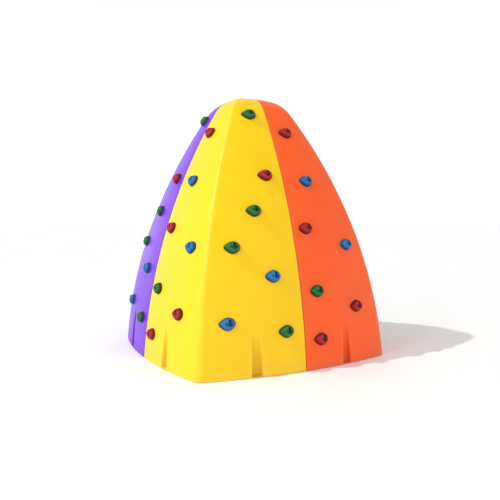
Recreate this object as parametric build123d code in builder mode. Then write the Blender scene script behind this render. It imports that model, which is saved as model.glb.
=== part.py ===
"""Free-standing climbing tower: four moulded quarter shells, climbing holds and fasteners.

Millimetres, +Z up. The origin is on the ground, in the middle of the base. The four seams lie
in the planes x = 0 and y = 0, at the middle of the four sides.
"""

from build123d import *
from math import acos, asin, atan2, cos, degrees, hypot, pi, radians, sin, sqrt
import os

# --- Overall form -----------------------------------------------------------------------------
half_width = 880.0  # axis to the middle of each side, at the ground
height = 1990.0  # ground to the small flat at the top of the crown
base_lean = 4.3  # degrees that the sides lean inwards at the ground
shoulder_radius = 246.0  # curve that turns a side over into the crown
crown_radius = 1080.0  # gentle dome of the crown
crown_half = 91.6  # half width of the dome, where the shoulder starts
crown_flat = 40.0  # half width of the flat at the very top
corner_ratio = 0.887  # a corner's distance from each seam plane, over the half width there
corner_radius_base = 72.0  # rounding of the upright corner at the ground
corner_radius_top = 20.0  # the same at the crown
inner_corner_radius = 4.0  # least rounding of a corner inside

# --- Moulded quarter shell --------------------------------------------------------------------
wall = 8.0  # thickness of the moulded wall
flange_thickness = 10.0  # seam flanges and base flange
flange_depth = 68.0  # outer face of the wall to the flange's inner edge
flute_width_base = 84.0  # upright flutes in the foot of each side
flute_width_top = 50.0
flute_depth = 36.0  # at the ground, where the flute is deepest
flute_height = 310.0  # where the flute's floor runs out to the face
flute_share = 0.475  # flute's place, as a share of the way from seam to corner
flute_corner = 10.0  # rounding between the flute's floor and its sides
boss_radius = 19.0  # moulded boss behind each hold
boss_length = 22.0  # outer face to the boss's flat end
cut_margin = 20.0  # how far a cutting shape passes the face that it opens

# --- Climbing hold ----------------------------------------------------------------------------
hold_width = 117.0
hold_tall = 88.0
hold_depth = 38.0
hold_top_scale = 0.56  # outline of the front face, over the outline of the back
hold_waist_scale = 0.88  # the same half way up the sloping side
hold_dish_radius = 30.0  # hollow that the fingers rest in
hold_dish_depth = 10.0
hold_dish_place = (8.0, -1.5)
bolt_place = (13.0, 21.0)  # on the hold: to the right and up from its middle
screw_place = (-13.0, 3.0)
bolt_seat = 12.0  # hold material that the bolt head clamps
screw_seat = 9.0

# --- Fasteners --------------------------------------------------------------------------------
bolt_radius = 5.0  # M10
bolt_head_radius = 8.0
bolt_head_height = 10.0
hex_key = 8.0  # across the flats of the socket
hex_key_depth = 5.0
clearance = 0.5  # round each bolt shank
thread_gap = 0.05  # between a bolt and the thread it stands in
head_gap = 1.5  # round a bolt head in its counterbore
tnut_radius = 6.5
tnut_barrel = 10.0
tnut_flange_radius = 12.0
tnut_flange = 2.0
bolt_tail = 3.0  # shank that shows past a nut
screw_radius = 2.5
screw_head_radius = 4.5
screw_head_height = 3.5
screw_reach = 7.0  # how far the screw goes into the shell wall
washer_radius = 10.0
washer_thickness = 2.0
nut_flats = 17.0
nut_height = 8.0
seam_bolt_low = 110.0  # ground to the lowest seam bolt
seam_bolt_drop = 200.0  # top of the crown down to the highest seam bolt
seam_bolt_count = 7

# --- Anchor brackets --------------------------------------------------------------------------
bracket_thickness = 6.0
bracket_reach = 66.0  # leg on the base flange, measured from the seam flange
bracket_rise = 140.0  # leg up the seam flange
bracket_width = 44.0
bracket_gap = 2.0  # between the bracket and the shell's inner wall
anchor_hole_radius = 7.0  # for M12 ground anchors
anchor_offset = 50.0  # seam plane to the anchor hole

# --- Colours and patterns ---------------------------------------------------------------------
# Each quarter is the same moulding, turned about the axis.
quarters = {"lime": 0, "purple": 90, "yellow": 180, "orange": 270}
sides = ("right", "back", "left", "front")  # +X, +Y, -X, -Y
# Holds on one quarter, top to bottom: colour, share of the way from seam to corner, share of
# the height. Seen from outside, each side shows the first pattern left of its seam and the
# second one right of it.
holds_left_of_seam = (
    ("green", 0.534, 0.915),
    ("red", 0.295, 0.682),
    ("green", 0.495, 0.555),
    ("green", 0.740, 0.431),
    ("blue", 0.305, 0.331),
    ("blue", 0.759, 0.183),
    ("green", 0.196, 0.144),
)
holds_right_of_seam = (
    ("red", 0.365, 0.850),
    ("blue", 0.399, 0.665),
    ("red", 0.177, 0.492),
    ("blue", 0.730, 0.429),
    ("green", 0.185, 0.271),
    ("red", 0.667, 0.203),
    ("red", 0.173, 0.104),
)

# --- Profile of a side along its seam ---------------------------------------------------------
# Three arcs, tangent to each other: side, shoulder and crown. They are drawn in a plane of
# half width against height, and every inner surface is a true offset of them.
crown_centre = (0.0, height - sqrt(crown_radius**2 - crown_flat**2))
shoulder_end = acos(crown_half / crown_radius)
shoulder_centre = (
    (crown_radius - shoulder_radius) * cos(shoulder_end),
    crown_centre[1] + (crown_radius - shoulder_radius) * sin(shoulder_end),
)
# The side arc leaves the ground at the base lean and touches the shoulder arc.
to_foot = (half_width - shoulder_centre[0], -shoulder_centre[1])
lean_way = (cos(radians(base_lean)), sin(radians(base_lean)))
side_radius = (hypot(*to_foot) ** 2 - shoulder_radius**2) / (
    2 * (to_foot[0] * lean_way[0] + to_foot[1] * lean_way[1] - shoulder_radius)
)
side_centre = (half_width - side_radius * lean_way[0], -side_radius * lean_way[1])
shoulder_start = atan2(
    shoulder_centre[1] - side_centre[1], shoulder_centre[0] - side_centre[0]
)
crown_end = atan2(height - crown_centre[1], crown_flat)


def profile_station(centre, radius, angle):
    """Half width and height of one point of the profile."""
    return centre[0] + radius * cos(angle), centre[1] + radius * sin(angle)


def spread(first, last, count):
    """Evenly spaced values, both ends included."""
    return [first + (last - first) * step / (count - 1) for step in range(count)]


def side_stations(inset, foot):
    """Points up the side arc, set in from the outer face, starting at the height foot."""
    low = asin((foot - side_centre[1]) / (side_radius - inset))
    return [
        profile_station(side_centre, side_radius - inset, angle)
        for angle in spread(low, shoulder_start, 7)
    ]


def crown_stations(inset):
    """Points over the shoulder arc and the crown arc, set in from the outer face."""
    return [
        profile_station(shoulder_centre, shoulder_radius - inset, angle)
        for angle in spread(shoulder_start, shoulder_end, 8)
    ] + [
        profile_station(crown_centre, crown_radius - inset, angle)
        for angle in spread(shoulder_end, crown_end, 3)[1:]
    ]


def side_at(level, inset=0.0):
    """Half width at one height, and the angle of the outward normal above the horizontal."""
    angle = asin((level - side_centre[1]) / (side_radius - inset))
    if angle <= shoulder_start:
        return side_centre[0] + (side_radius - inset) * cos(angle), angle
    angle = asin((level - shoulder_centre[1]) / (shoulder_radius - inset))
    return shoulder_centre[0] + (shoulder_radius - inset) * cos(angle), angle


# --- Level sections ---------------------------------------------------------------------------
# Every side is a shallow arc in plan. Its radius grows with the half width, so all sections
# have the same shape apart from the corner's own radius.
bow_ratio = (corner_ratio**2 + (1 - corner_ratio) ** 2) / (2 * (1 - corner_ratio))


def corner_radius(level):
    """Rounding of the upright corner, which sharpens towards the crown."""
    share = max(0.0, 1 - level / height) ** 1.5
    return corner_radius_top + (corner_radius_base - corner_radius_top) * share


def section_outline(half, rounding, margin):
    """One quarter of a level section, closed a margin past the two seam planes."""
    bow = bow_ratio * half
    centre = half - bow
    reach = bow - rounding
    diagonal = (centre + sqrt(2 * reach**2 - centre**2)) / 2
    turn = atan2(diagonal - centre, diagonal)
    mid_turn = (turn + pi / 2) / 2
    on_side = (bow * cos(turn), centre + bow * sin(turn))
    side_middle = (bow * cos(mid_turn), centre + bow * sin(mid_turn))
    tip = diagonal + rounding / sqrt(2)
    with BuildLine() as outline:
        Line((-margin, -margin), (-margin, half))
        if margin:
            Line((-margin, half), (0, half))
        ThreePointArc((0, half), side_middle, on_side)
        ThreePointArc(on_side, (tip, tip), (on_side[1], on_side[0]))
        ThreePointArc((on_side[1], on_side[0]), (side_middle[1], side_middle[0]), (half, 0))
        if margin:
            Line((half, 0), (half, -margin))
        Line((half, -margin), (-margin, -margin))
    return outline.line


def quarter_solid(inset, foot, margin):
    """Solid quarter of the tower, set in from the outer face by the inset."""
    with BuildPart() as solid:
        for stations in (side_stations(inset, foot), crown_stations(inset)):
            for half, level in stations:
                rounding = max(corner_radius(level) - inset, inner_corner_radius)
                with BuildSketch(Plane.XY.offset(level)):
                    add(section_outline(half, rounding, margin))
                    make_face()
            loft()
    return solid.part


# --- Places on the sides ----------------------------------------------------------------------
def place_on_side(seam_share, height_share, right_of_seam):
    """Plane on the outer face of the +X, +Y quarter: x to the right, y up, z outwards."""
    level = height_share * height
    half, lean = side_at(level)
    across = seam_share * corner_ratio * half
    bow = bow_ratio * half
    flat = sqrt(bow**2 - across**2)
    out = half - bow + flat
    slope = (1 - bow_ratio + bow_ratio * bow / flat) * sin(lean) / cos(lean)
    if right_of_seam:
        return Plane(
            origin=(out, across, level),
            x_dir=(-across / flat, 1, 0),
            z_dir=(1, across / flat, slope),
        )
    return Plane(
        origin=(across, out, level),
        x_dir=(-1, across / flat, 0),
        z_dir=(across / flat, 1, slope),
    )


hold_places = [
    (colour, place_on_side(seam_share, height_share, False), False)
    for colour, seam_share, height_share in holds_left_of_seam
] + [
    (colour, place_on_side(seam_share, height_share, True), True)
    for colour, seam_share, height_share in holds_right_of_seam
]


def spot(plane, place, out=0.0):
    """Plane parallel to a hold's plane, at a place on the hold."""
    origin = plane.origin + plane.x_dir * place[0] + plane.y_dir * place[1]
    return Plane(origin=origin + plane.z_dir * out, x_dir=plane.x_dir, z_dir=plane.z_dir)


bolt_planes = [spot(plane, bolt_place) for colour, plane, right in hold_places]
screw_planes = [spot(plane, screw_place) for colour, plane, right in hold_places]

# Seam bolts stand in the middle of the seam flange.
bolt_inset = (wall + flange_depth) / 2
seam_bolt_places = [
    (side_at(level, bolt_inset)[0], level)
    for level in spread(seam_bolt_low, height - seam_bolt_drop, seam_bolt_count)
]
# The anchor brackets stand just inside the wall, and the anchor holes in their middle.
anchor_reach = side_at(flange_thickness + bracket_rise)[0] - wall - bracket_gap - bracket_width / 2


# --- Quarter shell ----------------------------------------------------------------------------
def flute_solid(grow, foot):
    """Tapered flute in the +Y side, made larger by grow for the wall behind it."""
    across = flute_share * corner_ratio * half_width
    bow = bow_ratio * half_width
    face_foot = half_width - bow + sqrt(bow**2 - across**2)
    half_top = side_at(flute_height)[0]
    bow_top = bow_ratio * half_top
    face_top = half_top - bow_top + sqrt(bow_top**2 - across**2)
    rim = half_width + cut_margin
    with BuildPart() as flute:
        for level, width, floor in (
            (0, flute_width_base, face_foot - flute_depth),
            (flute_height, flute_width_top, face_top),
        ):
            with BuildSketch(Plane.XY.offset(level)):
                with Locations((across, (floor - grow + rim) / 2)):
                    RectangleRounded(
                        width + 2 * grow, rim - floor + grow, flute_corner + grow
                    )
        loft()
        split(bisect_by=Plane.XY.offset(foot), keep=Keep.TOP)
    return flute.part


diagonal_plane = Plane(origin=(0, 0, 0), x_dir=(1, 1, 0), z_dir=(1, -1, 0))

with BuildPart() as flutes:
    add(flute_solid(0, flange_thickness))
    mirror(about=diagonal_plane)

with BuildPart() as flutes_with_wall:
    add(flute_solid(wall, 0))
    mirror(about=diagonal_plane)

with BuildPart() as bosses:
    for plane in bolt_planes:
        with BuildSketch(plane):
            Circle(boss_radius)
        extrude(amount=-boss_length)

# The empty space inside one shell. It is open between the flanges, towards the neighbours and
# the ground, and it keeps clear of the flutes' walls and of the bosses.
with BuildPart() as hollow:
    add(quarter_solid(wall, -cut_margin, 0))
    with Locations((flange_thickness, flange_thickness, flange_thickness)):
        Box(half_width, half_width, height, align=Align.MIN, mode=Mode.INTERSECT)
    add(quarter_solid(flange_depth, -cut_margin, cut_margin))
    add(flutes_with_wall.part, mode=Mode.SUBTRACT)
    add(bosses.part, mode=Mode.SUBTRACT)

with BuildPart() as drillings:
    # Bolt holes through the wall and the bosses, with the wider seats of the T-nuts
    for plane in bolt_planes:
        with BuildSketch(spot(plane, (0, 0), wall)):
            Circle(bolt_radius + clearance)
        extrude(amount=-(2 * wall + boss_length))
        with BuildSketch(spot(plane, (0, 0), -boss_length - wall)):
            Circle(tnut_radius)
        extrude(amount=tnut_barrel + wall)
    for plane in screw_planes:
        with BuildSketch(spot(plane, (0, 0), wall)):
            Circle(screw_radius + thread_gap)
        extrude(amount=-3 * wall)
    # Seam bolt holes through both seam flanges
    for reach, level in seam_bolt_places:
        with BuildSketch(Plane.YZ.offset(-flange_thickness)):
            with Locations((reach, level)):
                Circle(bolt_radius + clearance)
        extrude(amount=3 * flange_thickness)
        with BuildSketch(Plane.XZ.offset(flange_thickness)):
            with Locations((reach, level)):
                Circle(bolt_radius + clearance)
        extrude(amount=-3 * flange_thickness)
    # Ground anchor holes beside each seam
    with BuildSketch(Plane.XY.offset(-flange_thickness)):
        with Locations((anchor_offset, anchor_reach), (anchor_reach, anchor_offset)):
            Circle(anchor_hole_radius)
    extrude(amount=3 * flange_thickness)

with BuildPart() as quarter_shell:
    add(quarter_solid(0, 0, 0))
    add(flutes.part, mode=Mode.SUBTRACT)
    add(hollow.part, mode=Mode.SUBTRACT)
    add(drillings.part, mode=Mode.SUBTRACT)


# --- Climbing hold ----------------------------------------------------------------------------
def hold_outline(scale):
    """Rounded teardrop: blunt point to the left, round to the right."""
    right = hold_width / 2 * scale
    top = hold_tall / 2 * scale
    with BuildLine() as outline:
        Spline(
            (right, 0.04 * top),
            (0.74 * right, 0.72 * top),
            (0.18 * right, top),
            (-0.48 * right, 0.72 * top),
            (-right, 0.04 * top),
            (-0.62 * right, -0.60 * top),
            (0.02 * right, -top),
            (0.70 * right, -0.66 * top),
            periodic=True,
        )
    return outline.line


with BuildPart() as hold:
    with BuildSketch():
        add(hold_outline(1.0))
        make_face()
    with BuildSketch(Plane.XY.offset(hold_depth / 2)):
        add(hold_outline(hold_waist_scale))
        make_face()
    with BuildSketch(Plane.XY.offset(hold_depth)):
        add(hold_outline(hold_top_scale))
        make_face()
    loft()
    with Locations((*hold_dish_place, hold_depth + hold_dish_radius - hold_dish_depth)):
        Sphere(hold_dish_radius, mode=Mode.SUBTRACT)
    with Locations((*bolt_place, hold_depth)):
        CounterBoreHole(
            radius=bolt_radius + clearance,
            counter_bore_radius=bolt_head_radius + head_gap,
            counter_bore_depth=hold_depth - bolt_seat,
        )
    with Locations((*screw_place, hold_depth)):
        CounterBoreHole(
            radius=screw_radius + clearance,
            counter_bore_radius=screw_head_radius + clearance,
            counter_bore_depth=hold_depth - screw_seat,
        )


# --- Hold bolt, T-nut and anti-spin screw, each on its own plane on the shell -----------------
with BuildPart() as hold_bolt:
    with BuildSketch(Plane.XY.offset(bolt_seat)):
        Circle(bolt_head_radius)
    extrude(amount=bolt_head_height)
    chamfer(hold_bolt.edges().filter_by(GeomType.CIRCLE).sort_by(Axis.Z)[-1], 0.8)
    with BuildSketch(Plane.XY.offset(bolt_seat)):
        Circle(bolt_radius)
    extrude(amount=-(bolt_seat + boss_length + tnut_flange + bolt_tail))
    with BuildSketch(Plane.XY.offset(bolt_seat + bolt_head_height)):
        RegularPolygon(hex_key / 2, 6, major_radius=False)
    extrude(amount=-hex_key_depth, mode=Mode.SUBTRACT)

with BuildPart() as tnut:
    with BuildSketch(Plane.XY.offset(-boss_length)):
        Circle(tnut_radius)
    extrude(amount=tnut_barrel)
    with BuildSketch(Plane.XY.offset(-boss_length)):
        Circle(tnut_flange_radius)
    extrude(amount=-tnut_flange)
    with Locations((0, 0, tnut_barrel - boss_length)):
        Hole(bolt_radius + thread_gap)

with BuildPart() as hold_screw:
    with BuildSketch(Plane.XY.offset(screw_seat)):
        Circle(screw_head_radius)
    extrude(amount=screw_head_height)
    fillet(hold_screw.edges().filter_by(GeomType.CIRCLE).sort_by(Axis.Z)[-1], 1.2)
    with BuildSketch(Plane.XY.offset(screw_seat)):
        Circle(screw_radius)
    extrude(amount=-(screw_seat + screw_reach))
    with BuildSketch(Plane.XY.offset(screw_seat + screw_head_height)):
        Rectangle(1.0, 5.0)
        Rectangle(5.0, 1.0)
    extrude(amount=-1.5, mode=Mode.SUBTRACT)


# --- Seam fasteners and anchor brackets, for the seam on the +Y side --------------------------
def clamped_face(index):
    """Seam plane to the face under a washer; the lowest bolt also holds the brackets."""
    return flange_thickness + (bracket_thickness if index == 0 else 0)


def ring_plane(place, out):
    """Plane square to the +Y seam's bolts, its normal along +X."""
    return Plane(origin=(out, place[0], place[1]), x_dir=(0, 1, 0), z_dir=(1, 0, 0))


with BuildPart() as seam_bolts:
    for index, place in enumerate(seam_bolt_places):
        head_face = clamped_face(index) + washer_thickness
        with BuildSketch(ring_plane(place, -head_face)):
            Circle(bolt_head_radius)
        extrude(amount=-bolt_head_height)
        with BuildSketch(ring_plane(place, -head_face)):
            Circle(bolt_radius)
        extrude(amount=2 * head_face + nut_height + bolt_tail)
        with BuildSketch(ring_plane(place, -head_face - bolt_head_height)):
            RegularPolygon(hex_key / 2, 6, major_radius=False)
        extrude(amount=hex_key_depth, mode=Mode.SUBTRACT)

with BuildPart() as seam_washers:
    for index, place in enumerate(seam_bolt_places):
        with BuildSketch(ring_plane(place, clamped_face(index))):
            Circle(washer_radius)
            Circle(bolt_radius + clearance, mode=Mode.SUBTRACT)
        extrude(amount=washer_thickness)
    mirror(about=Plane.YZ)

with BuildPart() as seam_nuts:
    for index, place in enumerate(seam_bolt_places):
        with BuildSketch(ring_plane(place, clamped_face(index) + washer_thickness)):
            RegularPolygon(nut_flats / 2, 6, major_radius=False)
            Circle(bolt_radius + thread_gap, mode=Mode.SUBTRACT)
        extrude(amount=nut_height)

with BuildPart() as anchor_brackets:
    with BuildSketch(Plane.XZ.offset(-(anchor_reach - bracket_width / 2))):
        with Locations((flange_thickness, flange_thickness)):
            Rectangle(bracket_thickness, bracket_rise, align=Align.MIN)
            Rectangle(bracket_reach, bracket_thickness, align=Align.MIN)
    extrude(amount=-bracket_width)
    with BuildSketch(Plane.XY.offset(flange_thickness)):
        with Locations((anchor_offset, anchor_reach)):
            Circle(anchor_hole_radius)
    extrude(amount=bracket_thickness, mode=Mode.SUBTRACT)
    with BuildSketch(ring_plane(seam_bolt_places[0], flange_thickness)):
        Circle(bolt_radius + clearance)
    extrude(amount=bracket_thickness, mode=Mode.SUBTRACT)
    mirror(about=Plane.YZ)


# --- Every piece in its own place -------------------------------------------------------------
def write(name, piece, turn):
    """Turn a piece of the first quarter about the axis, name it and write it."""
    with BuildPart() as placed:
        add(piece.rotate(Axis.Z, turn))
    placed.part.label = name
    export_step(placed.part, f"parts/{name}.step")


def group(piece, planes):
    """The same piece on several planes, as separate solids of one group."""
    with BuildPart() as copies:
        with Locations(*planes):
            add(piece)
    return copies.part


os.makedirs("parts", exist_ok=True)
hold_bolts = group(hold_bolt.part, bolt_planes)
tnuts = group(tnut.part, bolt_planes)
hold_screws = group(hold_screw.part, screw_planes)

for panel, turn in quarters.items():
    write(f"{panel}_shell", quarter_shell.part, turn)
    write(f"{panel}_hold_bolts", hold_bolts, turn)
    write(f"{panel}_t_nuts", tnuts, turn)
    write(f"{panel}_hold_screws", hold_screws, turn)
    for right_of_seam in (False, True):
        # Left of a seam is the quarter's +Y side before it is turned, right of it is +X.
        side = sides[(turn // 90 + (0 if right_of_seam else 1)) % 4]
        for colour in ("red", "blue", "green"):
            planes = [
                plane
                for hold_colour, plane, right in hold_places
                if hold_colour == colour and right == right_of_seam
            ]
            write(f"{colour}_holds_{side}_{panel}", group(hold.part, planes), turn)

for index, side in enumerate(sides):
    turn = 90 * (index - 1)
    write(f"{side}_seam_bolts", seam_bolts.part, turn)
    write(f"{side}_seam_washers", seam_washers.part, turn)
    write(f"{side}_seam_nuts", seam_nuts.part, turn)
    write(f"{side}_anchor_brackets", anchor_brackets.part, turn)
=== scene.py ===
"""Looks of the climbing tower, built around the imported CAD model. Metres, +Z up."""

from math import acos, asin, atan2, cos, hypot, pi, radians, sin, sqrt

import bmesh
import bpy
import numpy as np
from mathutils import Matrix, Vector


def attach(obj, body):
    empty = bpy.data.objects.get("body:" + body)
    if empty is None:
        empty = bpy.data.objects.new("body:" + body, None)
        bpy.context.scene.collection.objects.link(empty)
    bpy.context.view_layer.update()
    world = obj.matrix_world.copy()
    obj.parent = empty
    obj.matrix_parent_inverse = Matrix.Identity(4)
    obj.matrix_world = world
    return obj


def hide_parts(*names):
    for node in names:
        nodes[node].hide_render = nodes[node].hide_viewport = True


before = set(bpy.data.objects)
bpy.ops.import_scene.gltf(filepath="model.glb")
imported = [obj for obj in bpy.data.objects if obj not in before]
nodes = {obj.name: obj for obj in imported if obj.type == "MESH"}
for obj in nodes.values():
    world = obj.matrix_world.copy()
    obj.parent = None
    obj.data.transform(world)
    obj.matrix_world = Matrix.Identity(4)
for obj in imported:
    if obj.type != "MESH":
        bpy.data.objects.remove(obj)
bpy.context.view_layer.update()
scene = bpy.context.scene

# --- Sizes of the mouldings, the same as the CAD model's ---------------------------------------
half_width = 0.880
height = 1.990
base_lean = radians(4.3)
shoulder_radius = 0.246
crown_radius = 1.080
crown_half = 0.0916
crown_flat = 0.040
corner_ratio = 0.887
corner_radius_base = 0.072
corner_radius_top = 0.020
wall = 0.008
flange_thickness = 0.010
flange_depth = 0.068
flute_width_base = 0.084
flute_width_top = 0.050
flute_depth = 0.036
flute_height = 0.310
flute_share = 0.475
hold_width = 0.117
hold_tall = 0.088
hold_depth = 0.038
bolt_place = (0.013, 0.021)
screw_place = (-0.013, 0.003)
bolt_seat = 0.012
screw_seat = 0.009
bolt_seat_radius = 0.0095
screw_seat_radius = 0.005
bolt_hole_radius = 0.0055
screw_hole_radius = 0.003
boss_radius = 0.019
boss_length = 0.022
tnut_radius = 0.0065
tnut_barrel = 0.010

# Softened edges of the moulding
seam_gap = 0.0012  # seam plane to the shell's edge
seam_rounding = 0.0060
gap_share = 0.03  # most of the half width that the gap takes, where the crown closes
rounding_share = 0.06  # the same for the seam's rounding
lip_share = 0.3  # the same for the flange, over the width of the inner wall
foot_rounding = 0.009
inner_corner_radius = 0.004  # least rounding of a corner inside
flute_flank = 0.011
flute_margin = 0.002  # flute's half width to the top of its rounded flank
ledge_height = 0.012  # solid ledge that closes a flute at the ground
ledge_rounding = 0.005
boss_edge = 0.0015

# Each quarter is the same moulding, turned about the axis by so many right angles.
quarters = {"lime": 0, "purple": 1, "yellow": 2, "orange": 3}
sides = ("right", "back", "left", "front")
holds_left_of_seam = (
    ("green", 0.534, 0.915),
    ("red", 0.295, 0.682),
    ("green", 0.495, 0.555),
    ("green", 0.740, 0.431),
    ("blue", 0.305, 0.331),
    ("blue", 0.759, 0.183),
    ("green", 0.196, 0.144),
)
holds_right_of_seam = (
    ("red", 0.365, 0.850),
    ("blue", 0.399, 0.665),
    ("red", 0.177, 0.492),
    ("blue", 0.730, 0.429),
    ("green", 0.185, 0.271),
    ("red", 0.667, 0.203),
    ("red", 0.173, 0.104),
)

# --- Profile of a side along its seam: side, shoulder and crown arcs ---------------------------
crown_centre = (0.0, height - sqrt(crown_radius**2 - crown_flat**2))
shoulder_end = acos(crown_half / crown_radius)
shoulder_centre = (
    (crown_radius - shoulder_radius) * cos(shoulder_end),
    crown_centre[1] + (crown_radius - shoulder_radius) * sin(shoulder_end),
)
to_foot = (half_width - shoulder_centre[0], -shoulder_centre[1])
side_radius = (hypot(*to_foot) ** 2 - shoulder_radius**2) / (
    2 * (to_foot[0] * cos(base_lean) + to_foot[1] * sin(base_lean) - shoulder_radius)
)
side_centre = (half_width - side_radius * cos(base_lean), -side_radius * sin(base_lean))


def angle_from(centre, point):
    """Angle above the horizontal of a point seen from an arc's centre."""
    return atan2(point[1] - centre[1], point[0] - centre[0])


shoulder_start = angle_from(side_centre, shoulder_centre)
crown_end = angle_from(crown_centre, (crown_flat, height))
side_start = asin(-side_centre[1] / side_radius)
arcs = {
    "side": (side_centre, side_radius),
    "shoulder": (shoulder_centre, shoulder_radius),
    "crown": (crown_centre, crown_radius),
}


def on_arc(name, angle, inset=0.0):
    """Half width and height at one angle of an arc, moved inwards by inset."""
    centre, radius = arcs[name]
    return (
        centre[0] + (radius - inset) * cos(angle),
        centre[1] + (radius - inset) * sin(angle),
    )


def side_at(level):
    """Half width at one height, and the angle of the outward normal above the horizontal."""
    for name, last in (("side", shoulder_start), ("shoulder", shoulder_end), ("crown", pi / 2)):
        centre, radius = arcs[name]
        angle = asin(min(1.0, (level - centre[1]) / radius))
        if angle <= last:
            return on_arc(name, angle)[0], angle


# Radius of a side's gentle bow from seam to corner, over the half width at that height
bow_ratio = (corner_ratio**2 + (1 - corner_ratio) ** 2) / (2 * (1 - corner_ratio))


def face_out(half, across):
    """Distance of a side's face from the axis, at a place across from the seam."""
    bow = bow_ratio * half
    return half - bow + np.sqrt(bow**2 - np.square(across))


def corner_rounding(half, level):
    """Radius of the upright corner, which sharpens towards the crown."""
    share = max(0.0, 1 - level / height) ** 1.5
    return min(corner_radius_top + (corner_radius_base - corner_radius_top) * share, half / 2)


def corner_arc(half, rounding):
    """Where a side's bow ends across, the corner's centre on the diagonal, the bow's angle."""
    bow = bow_ratio * half
    centre = half - bow
    diagonal = (centre + sqrt(2 * (bow - rounding) ** 2 - centre**2)) / 2
    turn = atan2(diagonal - centre, diagonal)
    return bow * cos(turn), diagonal, turn


# --- Flutes -------------------------------------------------------------------------------------
def smooth_step(value):
    """0 below 0, 1 above 1, and an S curve between."""
    share = np.clip(value, 0.0, 1.0)
    return share * share * (3 - 2 * share)


flute_across = flute_share * corner_ratio * half_width
flute_floor_foot = float(face_out(half_width, flute_across)) - flute_depth
flute_floor_top = float(face_out(side_at(flute_height)[0], flute_across))
flute_top_end = corner_arc(
    side_at(flute_height)[0], corner_rounding(side_at(flute_height)[0], flute_height)
)[0]


def flute_half_width(level):
    """Half width of a flute at one height, out to the top of its rounded flank."""
    share = min(level / flute_height, 1.0)
    narrowed = flute_width_base + (flute_width_top - flute_width_base) * share
    return narrowed / 2 + flute_margin


def flute_cut(level, half, ledge=True):
    """How deep the flute's floor lies behind the face at one height."""
    if level >= flute_height:
        return 0.0
    floor = flute_floor_foot + (flute_floor_top - flute_floor_foot) * level / flute_height
    depth = max(0.0, float(face_out(half, flute_across)) - floor)
    if ledge:
        depth *= float(smooth_step((level - ledge_height + ledge_rounding) / ledge_rounding))
    return depth


# --- Quarter shell ------------------------------------------------------------------------------
seam_steps = 5
flank_steps = 9
corner_steps = 20
inner_corner_steps = 8
base_step = 0.001  # how far the edge of the base flange stands outside the seam flange
crown_cap = (0.032, 0.023, 0.014, 0.007)  # half widths of the sections that close the crown
axis_gap = 0.0002  # half width of the shell's last point at the axis
axis_lip = 0.0008


def gap_at(half):
    """Seam plane to the shell's edge, which narrows where the crown closes."""
    return min(seam_gap, gap_share * half)


def side_columns(level, half, end):
    """Places across one half side from seam to corner, with the seam's gap and rounding."""
    rounding = min(seam_rounding, rounding_share * half)
    gap = gap_at(half)
    seam = [gap + rounding * (1 - cos(pi / 2 * step / seam_steps)) for step in range(seam_steps)]
    scale = end / flute_top_end if level > flute_height else 1.0
    outer = flute_half_width(level)
    inner = outer - flute_flank
    # From, to and number of places: face, flank of the flute, its floor, flank, face
    stops = (
        ((gap + 2.0 * rounding) / scale, flute_across - outer, 14),
        (flute_across - outer, flute_across - inner, flank_steps),
        (flute_across - inner, flute_across + inner, 5),
        (flute_across + inner, flute_across + outer, flank_steps),
        (flute_across + outer, end / scale, 18),
    )
    inside = [stops[0][0]]
    for start, stop, count in stops:
        inside.extend(np.linspace(start, stop, count)[1:])
    return np.array(seam + list(np.array(inside) * scale)), gap, rounding


def half_side(level, half):
    """One half side (across, out) with its seam edge, flute and foot softened."""
    end = corner_arc(half, corner_rounding(half, level))[0]
    across, gap, rounding = side_columns(level, half, end)
    from_edge = np.clip(1 - (across - gap) / rounding, 0.0, 1.0)
    drop = rounding * (1 - np.sqrt(1 - from_edge**2))
    in_flute = smooth_step((flute_half_width(level) - abs(across - flute_across)) / flute_flank)
    drop = drop + flute_cut(level, half) * in_flute + foot_drop(level)
    return across, face_out(half, across) - drop


def foot_drop(level):
    """How far the rounded foot stands back at one height."""
    from_foot = max(0.0, 1 - level / foot_rounding)
    return foot_rounding * (1 - sqrt(1 - from_foot**2))


def corner_points(diagonal, turn, rounding, level, steps):
    """Points round the upright corner, between the ends of its two sides."""
    return [
        (diagonal + rounding * cos(angle), diagonal + rounding * sin(angle), level)
        for angle in np.linspace(turn, pi / 2 - turn, steps)[1:-1]
    ]


def both_sides(across, out, level, corner):
    """Row of points from one seam round the corner to the other, alike on both sides."""
    first = [(a, o, level) for a, o in zip(across, out)]
    return first + corner + [(o, a, level) for a, o, _ in reversed(first)]


def outer_row(half, level):
    """One level of the outer skin, from the seam on x = 0 round to the seam on y = 0."""
    across, out = half_side(level, half)
    rounding = corner_rounding(half, level)
    diagonal, turn = corner_arc(half, rounding)[1:]
    corner = corner_points(diagonal, turn, rounding - foot_drop(level), level, corner_steps)
    return both_sides(across, out, level, corner)


def inner_row(half, level, half_outside, lip):
    """One level of the inner wall, from the flange at y = 0 back to the flange at x = 0."""
    least = min(inner_corner_radius, 0.1 * half)
    rounding = max(corner_rounding(half, level) - wall, least)
    end, diagonal, turn = corner_arc(half, rounding)
    scale = end / flute_top_end if level > flute_height else 1.0
    outer = flute_half_width(level) + wall
    inner = outer - flute_flank
    places = [lip / scale]
    for start, stop, count in (
        (lip / scale, flute_across - outer, 6),
        (flute_across - outer, flute_across - inner, 5),
        (flute_across - inner, flute_across + inner, 3),
        (flute_across + inner, flute_across + outer, 5),
        (flute_across + outer, end / scale, 8),
    ):
        places.extend(np.linspace(start, stop, count)[1:])
    across = np.array(places) * scale
    in_flute = smooth_step((outer - abs(across / scale - flute_across)) / flute_flank)
    out = face_out(half, across) - flute_cut(level, half_outside, ledge=False) * in_flute
    corner = corner_points(diagonal, turn, rounding, level, inner_corner_steps)
    return both_sides(across, out, level, corner)[::-1]


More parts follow.
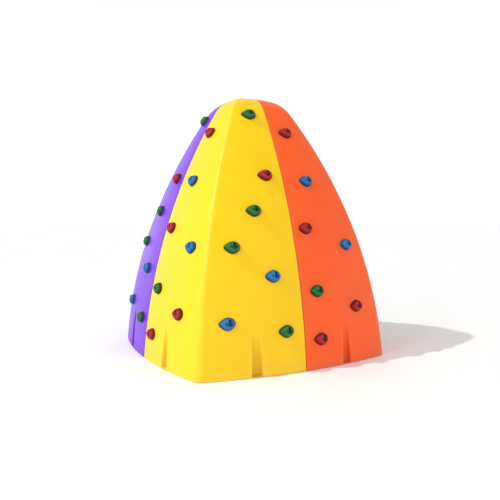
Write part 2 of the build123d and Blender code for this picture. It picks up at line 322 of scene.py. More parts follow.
def profile_levels():
    """Arc and angle of every level of the outer skin, from the foot to the crown."""
    # Closest together round the foot, the ledge of the flutes and the flutes' top ends
    levels = [0.0, 0.0006, 0.0018, 0.0036, 0.006, 0.0075]
    levels += list(np.linspace(0.0085, 0.0175, 10)) + [0.021, 0.026, 0.034]
    levels += list(np.linspace(0.045, flute_height - 0.02, 20))
    levels += list(np.linspace(flute_height - 0.01, flute_height + 0.02, 4))
    levels += list(np.linspace(flute_height + 0.05, on_arc("side", shoulder_start)[1], 40))
    angles = [("side", asin((level - side_centre[1]) / side_radius)) for level in levels]
    angles += [("shoulder", a) for a in np.linspace(shoulder_start, shoulder_end, 15)[1:]]
    angles += [("crown", a) for a in np.linspace(shoulder_end, crown_end, 22)[1:]]
    return angles


def section(half, level, wall_place, flange_place):
    """Closed section of one shell: outer skin, seam flange, inner wall, seam flange."""
    gap = gap_at(half)
    half_wall, level_wall = wall_place
    reach, level_flange = flange_place
    end = corner_arc(half_wall, corner_rounding(half_wall, level_wall))[0]
    lip = min(flange_thickness, lip_share * end)
    row = outer_row(half, level)
    row += [(reach, gap, level_flange), (reach, lip, level_flange)]
    row += inner_row(half_wall, level_wall, half, lip)
    return row + [(lip, reach, level_flange), (gap, reach, level_flange)]


def quarter_rows():
    """Sections of one shell from the foot to the axis, all with the same number of points."""
    rows = []
    for name, angle in profile_levels():
        half, level = on_arc(name, angle)
        wall_place = on_arc(name, angle, wall)
        flange_place = on_arc(name, angle, flange_depth)
        if level < flange_thickness:
            reach = on_arc("side", side_start, flange_depth)[0]
            wall_place, flange_place = (reach + base_step, level), (reach, level)
        rows.append(section(half, level, wall_place, flange_place))
    wall_level = on_arc("crown", crown_end, wall)[1]
    flange_level = on_arc("crown", crown_end, flange_depth)[1]
    for half in crown_cap:
        rows.append(
            section(half, height, (0.99 * half, wall_level), (0.93 * half, flange_level))
        )
    # At the axis every point of the outer skin meets in one, and so does the inner wall.
    flange_points = 4
    outer = len(outer_row(crown_flat, height))
    inner = len(rows[0]) - outer - flange_points
    at_gap, at_lip = (axis_gap, axis_gap), (axis_lip, axis_lip)
    pole = [(*at_gap, height)] * outer + [(*at_gap, flange_level), (*at_lip, flange_level)]
    pole += [(*at_lip, wall_level)] * inner + [(*at_lip, flange_level), (*at_gap, flange_level)]
    return rows + [pole]


def band_faces(rows, count):
    """Quads between rows of points that each go round once."""
    return [
        (
            i * count + j,
            i * count + (j + 1) % count,
            (i + 1) * count + (j + 1) % count,
            (i + 1) * count + j,
        )
        for i in range(rows - 1)
        for j in range(count)
    ]


def closed_grid(rows):
    """Closed mesh over rows of points that each go round once, capped at the first row."""
    count = len(rows[0])
    mesh = bpy.data.meshes.new("shell")
    faces = band_faces(len(rows), count) + [range(count)]
    mesh.from_pydata([point for row in rows for point in row], [], faces)
    shape = bmesh.new()
    shape.from_mesh(mesh)
    bmesh.ops.remove_doubles(shape, verts=shape.verts, dist=2e-6)
    bmesh.ops.dissolve_degenerate(shape, edges=shape.edges, dist=1e-6)
    bmesh.ops.recalc_face_normals(shape, faces=shape.faces)
    open_edges = [edge for edge in shape.edges if len(edge.link_faces) != 2]
    if open_edges:
        raise RuntimeError(f"the shell has {len(open_edges)} open edges")
    shape.to_mesh(mesh)
    shape.free()
    return mesh


def turned(mesh, name, quarter):
    """Object with a copy of a mesh turned about the axis by so many right angles."""
    copy = mesh.copy()
    copy.name = name
    copy.transform(Matrix.Rotation(quarter * pi / 2, 4, "Z"))
    made = bpy.data.objects.new(name, copy)
    scene.collection.objects.link(made)
    return made


def smooth(made, sharp_above):
    """Smooth shading, with edges kept crisp where the surface turns by more than an angle."""
    made.data.polygons.foreach_set("use_smooth", [True] * len(made.data.polygons))
    made.data.set_sharp_from_angle(angle=radians(sharp_above))


# --- Climbing hold ------------------------------------------------------------------------------
def closed_spline(points, count):
    """Points along the closed cubic spline through a few points."""
    through = np.array(points, float)
    step = np.hypot(*(np.roll(through, -1, 0) - through).T)
    number = len(through)
    system, slopes = np.zeros((number, number)), np.zeros((number, 2))
    for i in range(number):
        before, after = (i - 1) % number, (i + 1) % number
        system[i, before] += step[before] / 6
        system[i, i] += (step[before] + step[i]) / 3
        system[i, after] += step[i] / 6
        slopes[i] = (through[after] - through[i]) / step[i]
        slopes[i] -= (through[i] - through[before]) / step[before]
    bend = np.linalg.solve(system, slopes)
    stops = np.concatenate([[0], np.cumsum(step)])
    places = []
    for reach in np.linspace(0, stops[-1], count, endpoint=False):
        i = min(int(np.searchsorted(stops, reach, side="right")) - 1, number - 1)
        after, length = (i + 1) % number, step[i]
        near, far = (stops[i + 1] - reach) / length, (reach - stops[i]) / length
        bow = (near**3 - near) * bend[i] + (far**3 - far) * bend[after]
        places.append(near * through[i] + far * through[after] + bow * length**2 / 6)
    return np.array(places)


# Across and up, over half the hold's width and height
hold_outline = (
    (1.0, 0.04),
    (0.74, 0.72),
    (0.18, 1.0),
    (-0.48, 0.72),
    (-1.0, 0.04),
    (-0.62, -0.60),
    (0.02, -1.0),
    (0.70, -0.66),
)
# Share of the outline's size, and share of the height, from the wall to the middle
hold_profile = (
    (1.0, 0.0),
    (1.0, 0.05),
    (0.988, 0.14),
    (0.966, 0.24),
    (0.938, 0.34),
    (0.905, 0.44),
    (0.868, 0.54),
    (0.826, 0.63),
    (0.780, 0.72),
    (0.730, 0.80),
    (0.678, 0.87),
    (0.625, 0.925),
    (0.570, 0.965),
    (0.515, 0.99),
    *((0.46 - 0.05 * step, 1.0) for step in range(9)),
)
hold_top = 0.93 * hold_depth  # the top before its lips and brow are added
hold_middle = (0.0015, -0.0005)
hold_segments = 84
pocket_place = (0.0120, -0.0015)
pocket_reach = (0.0250, 0.0170)


def bump_at(x, y, place, spread):
    """1 at a place, falling smoothly to 0 over the spread (across, up)."""
    return np.exp(-(((x - place[0]) / spread[0]) ** 2) - ((y - place[1]) / spread[1]) ** 2)


def pocket_share(x, y):
    """Distance from the middle of the finger pocket, 1 at its rim."""
    return np.hypot(
        (x - pocket_place[0]) / pocket_reach[0], (y - pocket_place[1]) / pocket_reach[1]
    )


def hold_relief(x, y):
    """Height added to the hold's top: finger pocket, lips, dimples and the soft uneven casting."""
    reach = pocket_share(x, y)
    deeper_right = 0.80 + 0.35 * np.tanh(70 * (x - pocket_place[0]))
    pocket = -0.0135 * smooth_step((1.12 - reach) / 0.62) * deeper_right
    lip = 0.0016 * np.exp(-(((reach - 1.22) / 0.22) ** 2))
    slope = -0.0030 * smooth_step((-0.018 - x) / 0.040)
    crease = -0.0022 * bump_at(x, y, (-0.016, -0.022), (0.014, 0.0045))
    brow = 0.0018 * bump_at(x, y, (-0.010, 0.026), (0.020, 0.008))
    dimple = -0.0045 * bump_at(x, y, (-0.0265, -0.0085), (0.0055, 0.0045))
    around_screw = -0.0036 * bump_at(x, y, screw_place, (0.0090, 0.0080))
    around_bolt = -0.0022 * bump_at(x, y, bolt_place, (0.0125, 0.0120))
    uneven = 0.0006 * (np.sin(190 * x + 1.3) * np.sin(230 * y + 0.4) + np.sin(120 * (x + y)))
    return pocket + lip + slope + crease + brow + dimple + around_screw + around_bolt + uneven


def lathed(name, profile, place, segments=40):
    """Closed turned body about an upright axis, from (radius, height) pairs."""
    shape = bmesh.new()
    rings = [
        [
            shape.verts.new(
                (
                    place[0] + radius * cos(2 * pi * step / segments),
                    place[1] + radius * sin(2 * pi * step / segments),
                    level,
                )
            )
            for step in range(segments)
        ]
        for radius, level in profile
    ]
    for low, high in zip(rings, rings[1:]):
        for i in range(segments):
            j = (i + 1) % segments
            shape.faces.new((low[i], low[j], high[j], high[i]))
    shape.faces.new(rings[0][::-1])
    shape.faces.new(rings[-1])
    bmesh.ops.recalc_face_normals(shape, faces=shape.faces)
    mesh = bpy.data.meshes.new(name)
    shape.to_mesh(mesh)
    shape.free()
    made = bpy.data.objects.new(name, mesh)
    scene.collection.objects.link(made)
    return made


def plain_mesh(made):
    """Mesh of an object with its modifiers applied."""
    bpy.context.view_layer.update()
    seen = made.evaluated_get(bpy.context.evaluated_depsgraph_get())
    return bpy.data.meshes.new_from_object(seen)


def combine(body, tools, operation):
    """Cuts tools out of an object or joins them to it, and removes the tools."""
    for tool in tools:
        cut = body.modifiers.new(tool.name, "BOOLEAN")
        cut.operation, cut.object, cut.solver = operation, tool, "EXACT"
    mesh = plain_mesh(body)
    body.modifiers.clear()
    body.data = mesh
    for tool in tools:
        bpy.data.objects.remove(tool)


def store(mesh, name, values):
    """Keeps one number for each vertex as an attribute that the finish reads."""
    layer = mesh.attributes.new(name, "FLOAT", "POINT")
    layer.data.foreach_set("value", values.astype(np.float32))


def mark_hold(mesh):
    """Stores where a hold is rubbed by hands, and where painted shade darkens its pocket, flanks
    and screw seats.
    """
    place = np.array([vertex.co for vertex in mesh.vertices])
    x, y, z = place.T
    rise = z / hold_top
    reach = pocket_share(x, y)
    rim = np.exp(-(((reach - 1.15) / 0.16) ** 2)) * smooth_step((rise - 0.65) / 0.2)
    brow = smooth_step((rise - 0.80) / 0.15)
    rubbed = np.maximum(rim, 0.6 * brow)
    # pocket, flank and seat mark where the finish paints shade
    pocket = smooth_step((0.95 - rise) / 0.35) * smooth_step((1.25 - reach) / 0.2)
    flank = 0.92 * smooth_step((0.78 - rise) / 0.42) * (reach > 1.1)
    seats = np.minimum(
        np.hypot(x - bolt_place[0], y - bolt_place[1]) / bolt_seat_radius,
        np.hypot(x - screw_place[0], y - screw_place[1]) / screw_seat_radius,
    )
    seat = (seats < 1.02) & (rise < 0.9)
    store(mesh, "rubbed", rubbed)
    store(mesh, "painted_hold_shade", np.maximum.reduce([pocket, flank, seat]))


def stepped_hole(shank, head, seat):
    """Profile of a hole right through a hold, wider above the seat of its screw's head."""
    past = 0.01
    return (shank, -past), (shank, seat), (head, seat), (head, hold_depth + past)


def hold_master():
    """One climbing hold on its own plane: x to the right, y up, z out of the wall."""
    count = hold_segments
    outline = closed_spline(hold_outline, count) * (hold_width / 2, hold_tall / 2)
    rings = []
    for size, rise in hold_profile:
        ring = hold_middle + (outline - hold_middle) * size
        added = hold_relief(ring[:, 0], ring[:, 1]) * smooth_step((rise - 0.30) / 0.5)
        rings.append(np.column_stack([ring, hold_top * rise + added]))
    middle = (*hold_middle, hold_top + float(hold_relief(*hold_middle)))
    points = [tuple(point) for ring in rings for point in ring] + [middle]
    last = (len(rings) - 1) * count
    faces = band_faces(len(rings), count)
    faces += [(last + j, last + (j + 1) % count, len(points) - 1) for j in range(count)]
    faces.append(tuple(range(count))[::-1])
    mesh = bpy.data.meshes.new("hold")
    mesh.from_pydata(points, [], faces)
    shape = bmesh.new()
    shape.from_mesh(mesh)
    bmesh.ops.recalc_face_normals(shape, faces=shape.faces)
    shape.to_mesh(mesh)
    shape.free()
    made = bpy.data.objects.new("hold_master", mesh)
    scene.collection.objects.link(made)
    combine(
        made,
        [
            lathed(
                "bolt_hole", stepped_hole(bolt_hole_radius, bolt_seat_radius, bolt_seat), bolt_place
            ),
            lathed(
                "screw_hole",
                stepped_hole(screw_hole_radius, screw_seat_radius, screw_seat),
                screw_place,
                28,
            ),
        ],
        "DIFFERENCE",
    )
    smooth(made, 38)
    mark_hold(made.data)
    return made


# --- Places of the holds ------------------------------------------------------------------------
def place_on_side(seam_share, height_share, right_of_seam):
    """Point on the +X, +Y quarter's face, with its outward and rightward directions."""
    level = height_share * height
    half, lean = side_at(level)
    across = seam_share * corner_ratio * half
    bow = bow_ratio * half
    flat = sqrt(bow**2 - across**2)
    out = half - bow + flat
    slope = (1 - bow_ratio + bow_ratio * bow / flat) * sin(lean) / cos(lean)
    if right_of_seam:
        return (out, across, level), (1, across / flat, slope), (-across / flat, 1, 0)
    return (across, out, level), (across / flat, 1, slope), (-1, across / flat, 0)


def hold_frame(place, outwards, rightwards):
    """Matrix that puts a thing from the hold's own plane onto its place on the shell."""
    outwards, rightwards = Vector(outwards).normalized(), Vector(rightwards).normalized()
    turn = Matrix((rightwards, outwards.cross(rightwards), outwards)).transposed()
    return Matrix.Translation(place) @ turn.to_4x4()


def with_bosses(mesh):
    """Adds the moulded boss behind every hold to a shell, bored for its threaded insert."""
    shell = bpy.data.objects.new("shell_master", mesh)
    scene.collection.objects.link(shell)
    profile = (
        (tnut_radius, tnut_barrel - boss_length),
        (tnut_radius, -boss_length),
        (boss_radius - boss_edge, -boss_length),
        (boss_radius, boss_edge - boss_length),
        (boss_radius + boss_edge, -1.25 * wall),
        (boss_radius + 0.0035, -0.6 * wall),
    )
    bosses = []
    for right, rows in ((False, holds_left_of_seam), (True, holds_right_of_seam)):
        for _, seam_share, height_share in rows:
            boss = lathed("boss", profile, bolt_place, 32)
            boss.data.transform(hold_frame(*place_on_side(seam_share, height_share, right)))
            bosses.append(boss)
    combine(shell, bosses, "UNION")
    made = shell.data
    bpy.data.objects.remove(shell)
    return made


def side_of(quarter, right_of_seam):
    return sides[(quarter + (0 if right_of_seam else 1)) % 4]


def hold_groups():
    """Points, outward and rightward directions of the holds of each colour, side and panel."""
    groups = {}
    for panel, quarter in quarters.items():
        turn = Matrix.Rotation(quarter * pi / 2, 3, "Z")
        for right, rows in ((False, holds_left_of_seam), (True, holds_right_of_seam)):
            for colour, seam_share, height_share in rows:
                place = place_on_side(seam_share, height_share, right)
                name = f"{colour}_holds_{side_of(quarter, right)}_{panel}"
                groups.setdefault(name, []).append([turn @ Vector(v) for v in place])
    return groups


def wire(tree, kind, inputs=(), **settings):
    """Adds a node, sets its properties, and gives its inputs values or links by name or index."""
    made = tree.nodes.new(kind)
    for key, value in settings.items():
        setattr(made, key, value)
    for key, value in dict(inputs).items():
        if isinstance(value, bpy.types.NodeSocket):
            tree.links.new(value, made.inputs[key])
        else:
            made.inputs[key].default_value = value
    return made


def hold_tree():
    """Puts the hold on every point, turned to its face, with a shade of its own."""
    tree = bpy.data.node_groups.new("holds_on_points", "GeometryNodeTree")
    face = tree.interface
    face.new_socket("Points", in_out="INPUT", socket_type="NodeSocketGeometry")
    face.new_socket("Hold", in_out="INPUT", socket_type="NodeSocketObject")
    size = face.new_socket("Size", in_out="INPUT", socket_type="NodeSocketFloat")
    size.default_value = 1.0
    face.new_socket("Seed", in_out="INPUT", socket_type="NodeSocketInt")
    face.new_socket("Material", in_out="INPUT", socket_type="NodeSocketMaterial")
    face.new_socket("Holds", in_out="OUTPUT", socket_type="NodeSocketGeometry")
    given = tree.nodes.new("NodeGroupInput").outputs
    vector = {"data_type": "FLOAT_VECTOR"}
    outwards = wire(tree, "GeometryNodeInputNamedAttribute", {"Name": "outwards"}, **vector)
    rightwards = wire(tree, "GeometryNodeInputNamedAttribute", {"Name": "rightwards"}, **vector)
    facing = wire(
        tree,
        "FunctionNodeAxesToRotation",
        {
            "Primary Axis": outwards.outputs["Attribute"],
            "Secondary Axis": rightwards.outputs["Attribute"],
        },
        primary_axis="Z",
        secondary_axis="X",
    )
    master = wire(tree, "GeometryNodeObjectInfo", {"Object": given["Hold"]})
    placed = wire(
        tree,
        "GeometryNodeInstanceOnPoints",
        {
            "Points": given["Points"],
            "Instance": master.outputs["Geometry"],
            "Rotation": facing.outputs["Rotation"],
            "Scale": given["Size"],
        },
    )
    shade = wire(tree, "FunctionNodeRandomValue", {"Seed": given["Seed"]}, data_type="FLOAT")
    shaded = wire(
        tree,
        "GeometryNodeStoreNamedAttribute",
        {
            "Geometry": placed.outputs["Instances"],
            "Name": "shade",
            "Value": next(o for o in shade.outputs if o.enabled),
        },
        data_type="FLOAT",
        domain="INSTANCE",
    )
    real = wire(tree, "GeometryNodeRealizeInstances", {"Geometry": shaded.outputs["Geometry"]})
    finished = wire(
        tree,
        "GeometryNodeSetMaterial",
        {"Geometry": real.outputs["Geometry"], "Material": given["Material"]},
    )
    out = tree.nodes.new("NodeGroupOutput")
    tree.links.new(finished.outputs["Geometry"], out.inputs["Holds"])
    return tree


def set_inputs(modifier, **values):
    """Sets a node modifier's inputs by their names."""
    for item in modifier.node_group.interface.items_tree:
        if item.in_out == "INPUT" and item.name in values:
            modifier[item.identifier] = values[item.name]


def holds_piece(name, places, tree, master, material, seed):
    """One group of holds as a plain mesh."""
    mesh = bpy.data.meshes.new(name)
    mesh.from_pydata([place for place, outwards, rightwards in places], [], [])
    for index, attribute in ((1, "outwards"), (2, "rightwards")):
        layer = mesh.attributes.new(attribute, "FLOAT_VECTOR", "POINT")
        for i, place in enumerate(places):
            layer.data[i].vector = place[index]
    made = bpy.data.objects.new(name, mesh)
    scene.collection.objects.link(made)
    rule = made.modifiers.new("holds", "NODES")
    rule.node_group = tree
    set_inputs(rule, Hold=master, Size=1.0, Seed=seed, Material=material)
    finished = plain_mesh(made)
    made.modifiers.remove(rule)
    made.data = finished
    return made


def mark_wear(mesh):
    """Stores where a shell is rubbed (seams, foot, flute rims, corner), partly a painted highlight,
    and where painted shade darkens the seam joints and the flutes' feet.
    """
    place = np.array([vertex.co for vertex in mesh.vertices])
    across, out, level = place[:, :2].min(1), place[:, :2].max(1), place[:, 2]
    # Rubbed, paler places; on the seam edges, flute rims and corner ridge this is partly a painted
    # highlight
    seam = smooth_step(1.1 - (across - seam_gap) / seam_rounding)
    foot = smooth_step(1.1 - level / (1.6 * foot_rounding))
    share = np.clip(level / flute_height, 0, 1)
    narrowed = flute_width_base + (flute_width_top - flute_width_base) * share
    rim = (narrowed + flute_margin) / 2
    off_rim = abs(abs(across - flute_across) - rim)
    flute = smooth_step(1 - off_rim / 0.006) * smooth_step((0.95 - share) * 2)
    corner = 0.45 * smooth_step(1 - (out - across) / 0.045)
    worn = np.maximum.reduce([seam, foot, flute, corner])
    # Painted shade: darkens the seam joint and the foot of each flute, where shade falls
    joint = smooth_step(1.5 - across / 0.0038)
    in_flute = smooth_step((rim - abs(across - flute_across)) / 0.010)
    in_flute *= smooth_step((1 - share) * 1.3) * (out > half_width * 0.7)
    store(mesh, "worn", worn)
    store(mesh, "painted_crevice_shade", np.maximum(joint, 0.6 * in_flute))


# --- Finishes -----------------------------------------------------------------------------------
def linear(red, green, blue):
    """Linear colour from 0 to 255 screen values."""
    def channel(value):
        share = value / 255
        return share / 12.92 if share <= 0.04045 else ((share + 0.055) / 1.055) ** 2.4

    return (channel(red), channel(green), channel(blue), 1.0)


def scaled(colour, factor):
    """Colour made darker or lighter by a factor."""
    return (*(min(1.0, part * factor) for part in colour[:3]), 1.0)


def faded(colour, share, grey):
    """Colour with a share of a plain grey mixed in."""
    return (*((1 - share) * part + share * grey for part in colour[:3]), 1.0)


def blended(tree, factor, first, second):
    """Colour mix; factor, first and second are values or links."""
    made = wire(tree, "ShaderNodeMix", {0: factor, 6: first, 7: second}, data_type="RGBA")
    return made.outputs[2]


def in_range(tree, value, low, high, to_low=0.0, to_high=1.0):
    """Value mapped from one range to another and kept inside it."""
    made = wire(
        tree,
        "ShaderNodeMapRange",
        {"Value": value, "From Min": low, "From Max": high, "To Min": to_low, "To Max": to_high},
        interpolation_type="SMOOTHSTEP",
    )
    return made.outputs["Result"]


def reckoned(tree, operation, first, second):
    """Result of one sum, such as ADD or MULTIPLY, on values or links."""
    return wire(tree, "ShaderNodeMath", {0: first, 1: second}, operation=operation).outputs[0]


def times(tree, first, second):
    return reckoned(tree, "MULTIPLY", first, second)


def noise(tree, where, scale, detail=2.0, roughness=0.5):
    """Soft noise of so many waves for each metre."""
    made = wire(
        tree,
        "ShaderNodeTexNoise",
        {"Vector": where, "Scale": scale, "Detail": detail, "Roughness": roughness},
    )
    return made.outputs[0]


def bumped(tree, relief, distance, strength=1.0, normal=None):
    """Normal of a surface that a relief raises by a distance, over another normal."""
    inputs = {"Height": relief, "Distance": distance, "Strength": strength}
    if normal is not None:
        inputs["Normal"] = normal
    return wire(tree, "ShaderNodeBump", inputs).outputs["Normal"]


def new_material(name):
    """Material with its node tree, shader and object coordinates."""
    made = bpy.data.materials.new(name)
    made.use_nodes = True
    tree = made.node_tree
    shader = tree.nodes["Principled BSDF"]
    where = tree.nodes.new("ShaderNodeTexCoord").outputs["Object"]
    return made, tree, shader, where


def moulded_plastic(name, colour, seed):
    """Satin rotomoulded plastic: mottled, finely dimpled, dusty at the foot, rubbed at edges."""
    made, tree, shader, where = new_material(name)
    moved = wire(tree, "ShaderNodeMapping", {"Vector": where, "Location": (seed, 2 * seed, 0)})
    where = moved.outputs["Vector"]
    level = wire(tree, "ShaderNodeSeparateXYZ", {0: where}).outputs["Z"]
    worn = wire(tree, "ShaderNodeAttribute", attribute_name="worn").outputs["Fac"]

    cloud = noise(tree, where, 3.2, 5, 0.6)
    body = blended(tree, in_range(tree, cloud, 0.3, 0.7), scaled(colour, 0.955), colour)
    speck = in_range(tree, noise(tree, where, 620, 1, 0.4), 0.60, 0.80)
    body = blended(tree, times(tree, speck, 0.16), body, scaled(colour, 1.25))

    # Scuffs from shoes: short upright streaks, mostly low down
    drawn = wire(tree, "ShaderNodeMapping", {"Vector": where, "Scale": (1, 1, 0.22)})
    streak = in_range(tree, noise(tree, drawn.outputs["Vector"], 46, 6, 0.62), 0.60, 0.74)
    patch = in_range(tree, noise(tree, where, 4.5, 2), 0.45, 0.65)
    low_down = in_range(tree, level, 0.15, 1.5, 1.0, 0.25)
    scuff = times(tree, times(tree, streak, patch), low_down)
    pale = faded(colour, 0.45, 0.85)
    body = blended(tree, times(tree, scuff, 0.22), body, pale)

    # Rubbed edges, broken up by noise; on the seams, flute rims and corner the paler colour is also
    # a painted highlight
    broken = in_range(tree, noise(tree, where, 55, 4, 0.6), 0.35, 0.65, 0.25, 1.0)
    rubbed = times(tree, worn, broken)
    body = blended(tree, times(tree, rubbed, 0.16), body, pale)

    # Painted shade in the seam joints and at the foot of the flutes: a darker copy of the colour
    painted_crevice_shade = wire(tree, "ShaderNodeAttribute", attribute_name="painted_crevice_shade").outputs["Fac"]
    body = blended(tree, times(tree, painted_crevice_shade, 0.42), body, scaled(colour, 0.30))

    # Dust that splashed up from the ground
    dust_noise = in_range(tree, noise(tree, where, 24, 5, 0.65), 0.35, 0.75, 0.2, 1.0)
    near_ground = in_range(tree, level, 0.0, 0.11, 1.0, 0.0)
    dust = times(tree, dust_noise, near_ground)
    body = blended(tree, times(tree, dust, 0.20), body, (0.36, 0.30, 0.23, 1))

    rough = in_range(tree, cloud, 0.25, 0.75, 0.30, 0.37)
    for mark, duller in ((scuff, 0.16), (rubbed, 0.10), (dust, 0.25)):
        rough = reckoned(tree, "ADD", rough, times(tree, mark, duller))

    normal = bumped(tree, noise(tree, where, 2.6, 1, 0.4), 0.010, 0.55)
    normal = bumped(tree, noise(tree, where, 210, 2, 0.45), 0.0009, 0.40, normal)
    normal = bumped(tree, scuff, 0.0003, 0.5, normal)
    tree.links.new(body, shader.inputs["Base Color"])
    tree.links.new(rough, shader.inputs["Roughness"])
    tree.links.new(normal, shader.inputs["Normal"])
    shader.inputs["IOR"].default_value = 1.5
    shader.inputs["Specular IOR Level"].default_value = 0.26
    return made


def cast_resin(name, colour):
    """Sandy cast resin of the holds: gritty, polished and paler on top, with painted shade in the
    pocket, on the flanks and in the screw seats.
    """
    made, tree, shader, where = new_material(name)
    shade = wire(tree, "ShaderNodeAttribute", attribute_name="shade").outputs["Fac"]
    body = blended(tree, shade, scaled(colour, 0.88), scaled(colour, 1.10))
    cloud = in_range(tree, noise(tree, where, 70, 5, 0.65), 0.32, 0.70)
    body = blended(tree, times(tree, cloud, 0.35), body, scaled(colour, 0.60))
    grain = in_range(tree, noise(tree, where, 1500, 2, 0.5), 0.58, 0.74)
    pale = faded(colour, 0.4, 0.55)
    body = blended(tree, times(tree, grain, 0.16), body, pale)
    edge = wire(tree, "ShaderNodeAttribute", attribute_name="rubbed").outputs["Fac"]
    broken = in_range(tree, noise(tree, where, 160, 4, 0.6), 0.35, 0.65, 0.3, 1.0)
    rubbed = times(tree, edge, broken)
    body = blended(tree, times(tree, rubbed, 0.22), body, pale)
    # Painted shade: a dark copy of the colour in the pocket, on the flanks and in the screw seats
    painted_hold_shade = wire(tree, "ShaderNodeAttribute", attribute_name="painted_hold_shade").outputs["Fac"]
    body = blended(tree, times(tree, painted_hold_shade, 0.85), body, scaled(colour, 0.16))
    rough = in_range(tree, cloud, 0.0, 1.0, 0.52, 0.68)
    rough = reckoned(tree, "SUBTRACT", rough, times(tree, rubbed, 0.14))
    normal = bumped(tree, noise(tree, where, 120, 3, 0.5), 0.0014, 0.4)
    normal = bumped(tree, noise(tree, where, 1100, 2, 0.6), 0.0004, 0.6, normal)
    tree.links.new(body, shader.inputs["Base Color"])
    tree.links.new(rough, shader.inputs["Roughness"])
    tree.links.new(normal, shader.inputs["Normal"])
    shader.inputs["Specular IOR Level"].default_value = 0.28
    return made


def black_steel(name):
    """Black oxide screws: dark, slightly worn to grey."""
    made, tree, shader, where = new_material(name)
    worn = in_range(tree, noise(tree, where, 420, 4, 0.6), 0.55, 0.72)
    tree.links.new(
        blended(tree, worn, (0.022, 0.022, 0.025, 1), (0.16, 0.155, 0.15, 1)),
        shader.inputs["Base Color"],
    )
    tree.links.new(in_range(tree, worn, 0, 1, 0.46, 0.30), shader.inputs["Roughness"])
    tree.links.new(
        bumped(tree, noise(tree, where, 1300, 2), 0.0002, 0.3), shader.inputs["Normal"]
    )
    shader.inputs["Metallic"].default_value = 0.85
    return made


def zinc_steel(name):
    """Bright zinc plate with a faint yellow and blue cast and fine turning marks."""
    made, tree, shader, where = new_material(name)
    cast = in_range(tree, noise(tree, where, 60, 3), 0.35, 0.65)
    tree.links.new(
        blended(tree, cast, (0.56, 0.60, 0.66, 1), (0.66, 0.63, 0.52, 1)),
        shader.inputs["Base Color"],
    )
    dull = in_range(tree, noise(tree, where, 240, 5, 0.65), 0.4, 0.7, 0.26, 0.5)
    tree.links.new(dull, shader.inputs["Roughness"])
    tree.links.new(
        bumped(tree, noise(tree, where, 900, 3), 0.0002, 0.35), shader.inputs["Normal"]
    )
    shader.inputs["Metallic"].default_value = 1.0
    return made


def galvanised_steel(name):
    """Hot-dip galvanised plate: grey spangles with dull and bright patches."""
    made, tree, shader, where = new_material(name)
    cells = wire(
        tree, "ShaderNodeTexVoronoi", {"Vector": where, "Scale": 130.0}, feature="F1"
    )
    spangle = wire(tree, "ShaderNodeSeparateColor", {0: cells.outputs["Color"]}).outputs[0]
    tree.links.new(
        blended(tree, spangle, (0.40, 0.42, 0.44, 1), (0.62, 0.64, 0.66, 1)),
        shader.inputs["Base Color"],
    )
    tree.links.new(in_range(tree, spangle, 0, 1, 0.34, 0.55), shader.inputs["Roughness"])
    tree.links.new(
        bumped(tree, noise(tree, where, 300, 4), 0.0006, 0.4), shader.inputs["Normal"]
    )
    shader.inputs["Metallic"].default_value = 0.95
    return made


# --- Pieces -------------------------------------------------------------------------------------
panel_colours = {
    "yellow": linear(252, 204, 18),
    "orange": linear(255, 96, 30),
    "purple": linear(111, 34, 204),
    "lime": linear(132, 204, 34),
}
hold_colours = {
    "red": linear(165, 14, 22),
    "green": linear(13, 105, 48),
    "blue": linear(6, 110, 174),
}

quarter_mesh = with_bosses(closed_grid(quarter_rows()))
mark_wear(quarter_mesh)
for panel, quarter in quarters.items():
    piece = turned(quarter_mesh, f"{panel}_panel", quarter)
    smooth(piece, 32)
    piece.data.materials.append(
        moulded_plastic(f"{panel}_plastic", panel_colours[panel], 1.7 * quarter)
    )
    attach(piece, "root")
    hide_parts(f"{panel}_shell")

master = hold_master()
placing = hold_tree()
resins = {
    colour: cast_resin(f"{colour}_resin", value) for colour, value in hold_colours.items()
}
for seed, (node, places) in enumerate(sorted(hold_groups().items())):
    colour = node.split("_")[0]
    piece = holds_piece(
        node.replace("holds", "grips"), places, placing, master, resins[colour], seed
    )
    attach(piece, "root")
    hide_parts(node)
bpy.data.objects.remove(master)

finishes = {
    "hold_bolts": black_steel("black_bolts"),
    "hold_screws": black_steel("black_screws"),
    "t_nuts": zinc_steel("zinc_t_nuts"),
    "seam_bolts": zinc_steel("zinc_seam_bolts"),
    "seam_washers": zinc_steel("zinc_washers"),
    "seam_nuts": zinc_steel("zinc_nuts"),
    "anchor_brackets": galvanised_steel("galvanised_brackets"),
}
for name, piece in nodes.items():
    for ending, material in finishes.items():
        if name.endswith(ending):
            piece.data.materials.clear()
            piece.data.materials.append(material)

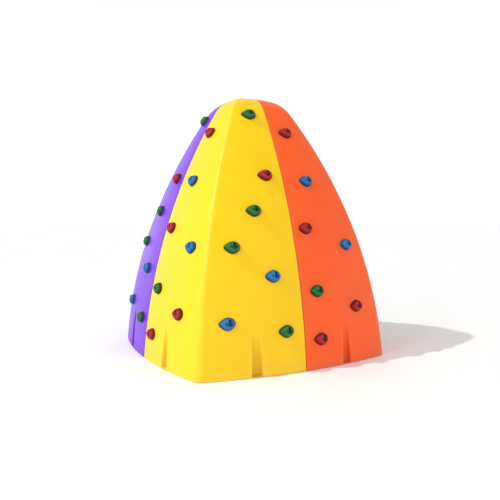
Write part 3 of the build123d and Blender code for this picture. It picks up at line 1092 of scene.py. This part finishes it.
# --- Floor, light and camera --------------------------------------------------------------------
floor_mesh = bpy.data.meshes.new("floor")
floor_reach = 60.0
floor_level = -0.0005
corners = ((-1, -1), (1, -1), (1, 1), (-1, 1))
floor_mesh.from_pydata(
    [(floor_reach * x, floor_reach * y, floor_level) for x, y in corners], [], [(0, 1, 2, 3)]
)
floor = bpy.data.objects.new("floor", floor_mesh)
scene.collection.objects.link(floor)
paint, paint_tree, paint_shader, paint_where = new_material("pale_floor")
tone = in_range(paint_tree, noise(paint_tree, paint_where, 1.5, 3), 0.3, 0.7)
paint_tree.links.new(
    blended(paint_tree, tone, (0.945, 0.942, 0.94, 1), (0.96, 0.957, 0.955, 1)),
    paint_shader.inputs["Base Color"],
)
paint_shader.inputs["Roughness"].default_value = 0.7
floor_mesh.materials.append(paint)

world = bpy.data.worlds.new("studio")
scene.world = world
world.use_nodes = True
sky = world.node_tree
# The sky is brightest at the horizon and dims overhead.
direction = sky.nodes.new("ShaderNodeTexCoord").outputs["Generated"]
rise = wire(sky, "ShaderNodeSeparateXYZ", {0: direction}).outputs["Z"]
glow = wire(
    sky,
    "ShaderNodeMapRange",
    {"Value": rise, "From Min": 0.0, "From Max": 0.75, "To Min": 1.36, "To Max": 0.54},
)
sky.links.new(glow.outputs["Result"], sky.nodes["Background"].inputs["Strength"])
sky.nodes["Background"].inputs["Color"].default_value = (1, 1, 1, 1)


def set_up(name, data, place, facing):
    """Adds a light or the camera at a place, facing along a direction."""
    made = bpy.data.objects.new(name, data)
    made.location = place
    made.rotation_mode = "QUATERNION"
    made.rotation_quaternion = facing.to_track_quat("-Z", "Y")
    scene.collection.objects.link(made)
    return made


sun_data = bpy.data.lights.new("key", "SUN")
sun_data.energy = 1.56
sun_data.angle = radians(1.1)
set_up("key", sun_data, Vector(), Vector((0.9036, -0.2199, -1.0)))

soft_data = bpy.data.lights.new("softbox", "AREA")
soft_data.shape, soft_data.size, soft_data.size_y = "RECTANGLE", 1.3, 1.6
soft_data.energy = 43.0
soft_place = Vector((-4.0, -1.95, 2.9))
set_up("softbox", soft_data, soft_place, Vector((0.0, 0.0, 1.0)) - soft_place)

camera_data = bpy.data.cameras.new("camera")
camera_data.sensor_width = 36.0
camera_data.lens = 40.24
camera_data.clip_start, camera_data.clip_end = 0.05, 200.0
camera_place = Vector((-2.1438, -4.0324, 1.0899))
camera_aim = Vector((0.0221, -0.0119, 0.7881))
scene.camera = set_up("camera", camera_data, camera_place, camera_aim - camera_place)
scene.view_settings.view_transform = "Standard"
